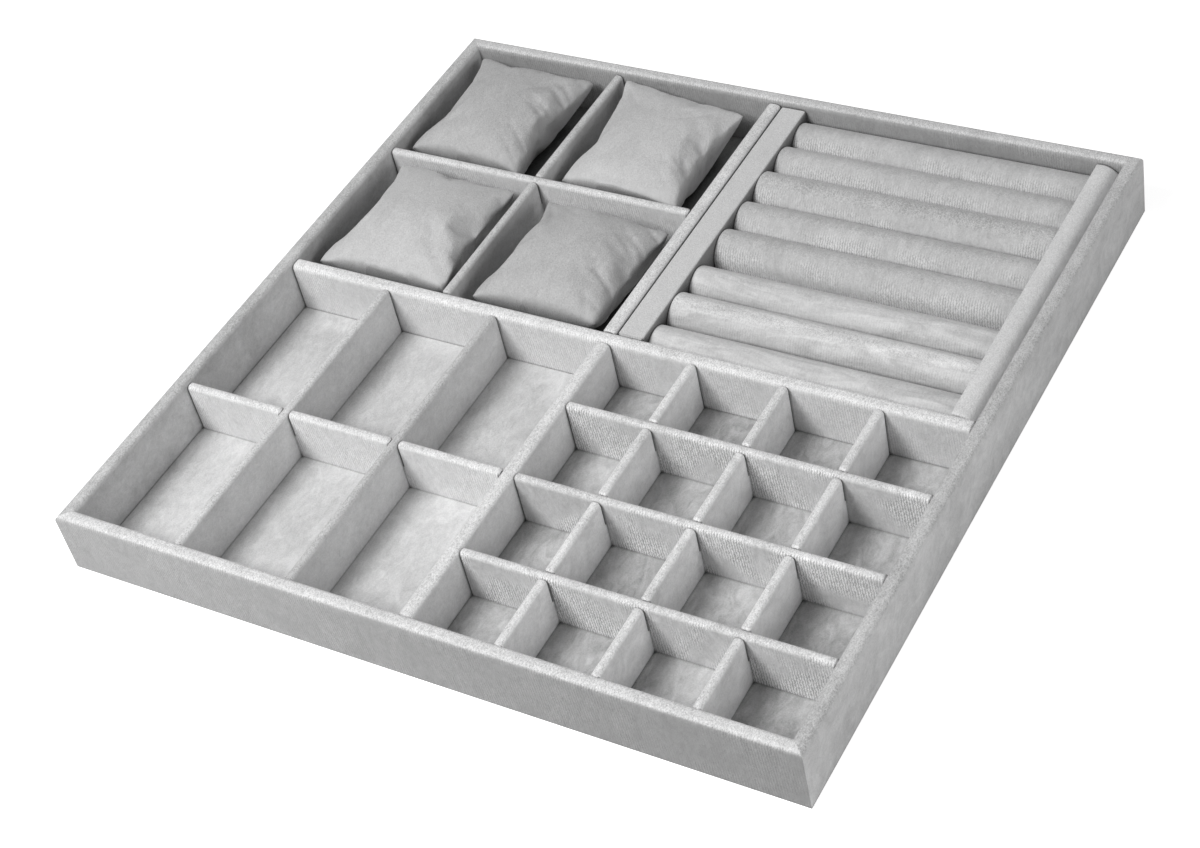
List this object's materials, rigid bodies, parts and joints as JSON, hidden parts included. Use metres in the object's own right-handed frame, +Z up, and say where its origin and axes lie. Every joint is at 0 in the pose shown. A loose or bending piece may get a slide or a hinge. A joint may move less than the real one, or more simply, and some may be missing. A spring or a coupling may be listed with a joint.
{
  "type": "jewelry tray",
  "caption": "Square velvet-covered jewelry tray with a cell grid, long cells, loose bracelet pillows and a lift-out ring roll insert.",
  "frame": {"origin": "middle of the underside", "axes": "+X along the near edge to the right, +Y towards the edge with the pillows and ring rolls, +Z up out of the tray"},
  "size_m": [0.4, 0.4, 0.045],
  "materials": {
    "velvet": "short-pile light grey velvet",
    "velvet_lining": "short-pile light grey velvet on card",
    "pillow_velvet": "soft light grey velvet",
    "roll_velvet": "fine ribbed light grey velvet",
    "fibreboard": "raw medium-density fibreboard",
    "card": "dense greyboard",
    "felt": "thin pressed felt",
    "foam": "open-cell foam",
    "wadding": "loose polyester wadding"
  },
  "bodies": {
    "tray": {"back_divider_board": "fibreboard", "back_divider_velvet": "velvet", "back_wall_board": "fibreboard", "back_wall_velvet": "velvet", "base_board": "fibreboard", "cross_divider_board": "fibreboard", "cross_divider_velvet": "velvet", "front_divider_board": "fibreboard", "front_divider_velvet": "velvet", "front_wall_board": "fibreboard", "front_wall_velvet": "velvet", "grid_column_divider_1": "velvet", "grid_column_divider_2": "velvet", "grid_column_divider_3": "velvet", "grid_divider_boards": "card", "grid_floor_lining": "velvet_lining", "grid_row_divider_1": "velvet", "grid_row_divider_2": "velvet", "grid_row_divider_3": "velvet", "left_wall_board": "fibreboard", "left_wall_velvet": "velvet", "long_cell_column_divider_1": "velvet", "long_cell_column_divider_2": "velvet", "long_cell_divider_boards": "card", "long_cell_floor_lining": "velvet_lining", "long_cell_row_divider": "velvet", "pillow_bay_column_divider": "velvet", "pillow_bay_divider_boards": "card", "pillow_bay_floor_lining": "velvet_lining", "pillow_bay_row_divider": "velvet", "right_wall_board": "fibreboard", "right_wall_velvet": "velvet", "ring_bay_floor_lining": "velvet_lining", "underside_felt": "felt"},
    "ring_insert": {"ring_insert_base": "card", "ring_rail_board": "fibreboard", "ring_rail_velvet": "velvet", "ring_roll_foams": "foam", "ring_roll_sleeve_1": "roll_velvet", "ring_roll_sleeve_2": "roll_velvet", "ring_roll_sleeve_3": "roll_velvet", "ring_roll_sleeve_4": "roll_velvet", "ring_roll_sleeve_5": "roll_velvet", "ring_roll_sleeve_6": "roll_velvet", "ring_roll_sleeve_7": "roll_velvet", "ring_roll_sleeve_8": "roll_velvet", "ring_strip_board": "fibreboard", "ring_strip_velvet": "velvet"},
    "pillow_back_left": {"pillow_cover_back_left": "pillow_velvet", "pillow_filling_back_left": "wadding"},
    "pillow_back_right": {"pillow_cover_back_right": "pillow_velvet", "pillow_filling_back_right": "wadding"},
    "pillow_front_left": {"pillow_cover_front_left": "pillow_velvet", "pillow_filling_front_left": "wadding"},
    "pillow_front_right": {"pillow_cover_front_right": "pillow_velvet", "pillow_filling_front_right": "wadding"}
  },
  "joints": [
    {"name": "pillow_back_left_lift", "type": "slide", "parent": "tray", "child": "pillow_back_left", "axis": [0, 0, 1], "range_m": [0, 0.06]},
    {"name": "pillow_back_right_lift", "type": "slide", "parent": "tray", "child": "pillow_back_right", "axis": [0, 0, 1], "range_m": [0, 0.06]},
    {"name": "pillow_front_left_lift", "type": "slide", "parent": "tray", "child": "pillow_front_left", "axis": [0, 0, 1], "range_m": [0, 0.06]},
    {"name": "pillow_front_right_lift", "type": "slide", "parent": "tray", "child": "pillow_front_right", "axis": [0, 0, 1], "range_m": [0, 0.06]},
    {"name": "ring_insert_lift", "type": "slide", "parent": "tray", "child": "ring_insert", "axis": [0, 0, 1], "range_m": [0, 0.06]}
  ]
}
